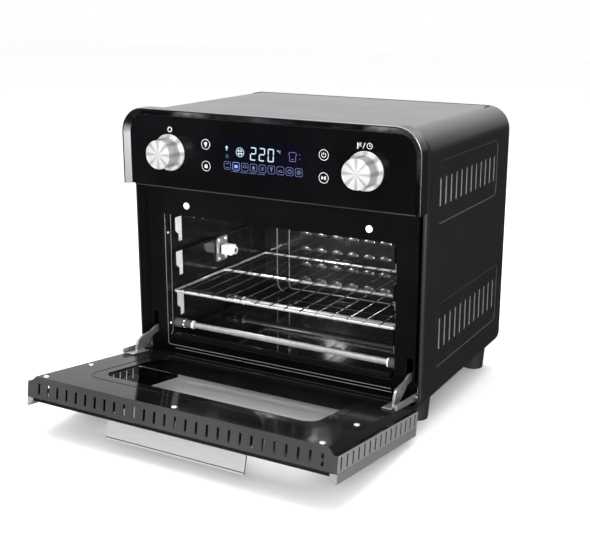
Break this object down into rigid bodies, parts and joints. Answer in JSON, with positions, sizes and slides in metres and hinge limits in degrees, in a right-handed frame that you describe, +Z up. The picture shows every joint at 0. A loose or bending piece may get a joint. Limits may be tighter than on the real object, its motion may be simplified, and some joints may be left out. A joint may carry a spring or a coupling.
{
  "type": "electric countertop oven",
  "caption": "Countertop electric oven: rounded sheet shell, glass control panel with turning knobs, drop-down window door, rod heaters, wire rack and fan.",
  "frame": {"origin": "on the surface under the feet, below the middle of the whole object's box with the door open", "axes": "+X to the oven's right as seen from the front, +Y from the front to the back, +Z up"},
  "size_m": [0.4, 0.5006, 0.359],
  "materials": {
    "charcoal_shell": "satin charcoal coating",
    "bezel": "satin metallic",
    "black_glass": "polished black",
    "smoked_glass": "smoked",
    "enamel": "glossy black enamel",
    "satin_steel": "satin",
    "aluminium": "spun and brushed",
    "chrome": "bright",
    "heater_tube": "satin grey tube",
    "ceramic": "unglazed dark grey",
    "black_plastic": "matte",
    "bumper": "white",
    "board": "solder mask",
    "lens": "frosted"
  },
  "bodies": {
    "body": {"outer_shell": "charcoal_shell", "rear_panel": "charcoal_shell", "rear_cover": "charcoal_shell", "top_bezel": "bezel", "control_glass": "black_glass", "front_frame": "enamel", "cavity_liner": "enamel", "cavity_baffle": "enamel", "base_plate": "satin_steel", "lamp_housing": "satin_steel", "spit_motor": "satin_steel", "hinge_bracket_left": "satin_steel", "hinge_bracket_right": "satin_steel", "spit_plate": "chrome", "temperature_probe": "chrome", "heater_lower_front": "heater_tube", "heater_lower_rear": "heater_tube", "heater_upper_front": "heater_tube", "heater_upper_rear": "heater_tube", "heater_end_lower_front_left": "ceramic", "heater_end_lower_front_right": "ceramic", "heater_end_lower_rear_left": "ceramic", "heater_end_lower_rear_right": "ceramic", "heater_end_upper_front_left": "ceramic", "heater_end_upper_front_right": "ceramic", "heater_end_upper_rear_left": "ceramic", "heater_end_upper_rear_right": "ceramic", "control_housing": "black_plastic", "display_module": "black_plastic", "encoder_left": "black_plastic", "encoder_right": "black_plastic", "fan_motor": "black_plastic", "cord_gland": "black_plastic", "foot_front_left": "black_plastic", "foot_front_right": "black_plastic", "foot_rear_left": "black_plastic", "foot_rear_right": "black_plastic", "bumper_left": "bumper", "bumper_right": "bumper", "control_board": "board", "lamp_lens": "lens"},
    "door": {"door_inner_plate": "enamel", "door_window": "smoked_glass", "door_outer_glass": "black_glass", "door_trim_left": "bezel", "door_trim_right": "bezel", "door_handle": "aluminium", "hinge_leaf_left": "satin_steel", "hinge_leaf_right": "satin_steel", "hinge_arm_left": "chrome", "hinge_arm_right": "chrome"},
    "left_knob": {"knob_left": "aluminium", "knob_face_left": "aluminium"},
    "right_knob": {"knob_right": "aluminium", "knob_face_right": "aluminium"},
    "rack": {"wire_rack": "chrome"},
    "tray": {"floor_tray": "enamel"},
    "spit": {"spit_socket": "chrome"},
    "fan": {"fan_impeller": "satin_steel"}
  },
  "joints": [
    {"name": "door_hinge", "type": "hinge", "parent": "body", "child": "door", "pos_m": [0, -0.03163, 0.0453], "axis": [-1, 0, 0], "range_deg": [0, 81.94]},
    {"name": "left_knob_turn", "type": "hinge", "parent": "body", "child": "left_knob", "pos_m": [-0.1315, -0.06163, 0.307], "axis": [0, 1, 0], "continuous": true},
    {"name": "right_knob_turn", "type": "hinge", "parent": "body", "child": "right_knob", "pos_m": [0.1315, -0.06163, 0.307], "axis": [0, 1, 0], "continuous": true},
    {"name": "spit_turn", "type": "hinge", "parent": "body", "child": "spit", "pos_m": [-0.14, 0.09187, 0.151], "axis": [1, 0, 0], "continuous": true},
    {"name": "fan_turn", "type": "hinge", "parent": "body", "child": "fan", "pos_m": [0, 0.21437, 0.142], "axis": [0, 1, 0], "continuous": true},
    {"name": "rack_slide", "type": "slide", "parent": "body", "child": "rack", "axis": [0, -1, 0], "range_m": [0, 0.008]},
    {"name": "tray_slide", "type": "slide", "parent": "body", "child": "tray", "axis": [0, -1, 0], "range_m": [0, 0.006]}
  ]
}
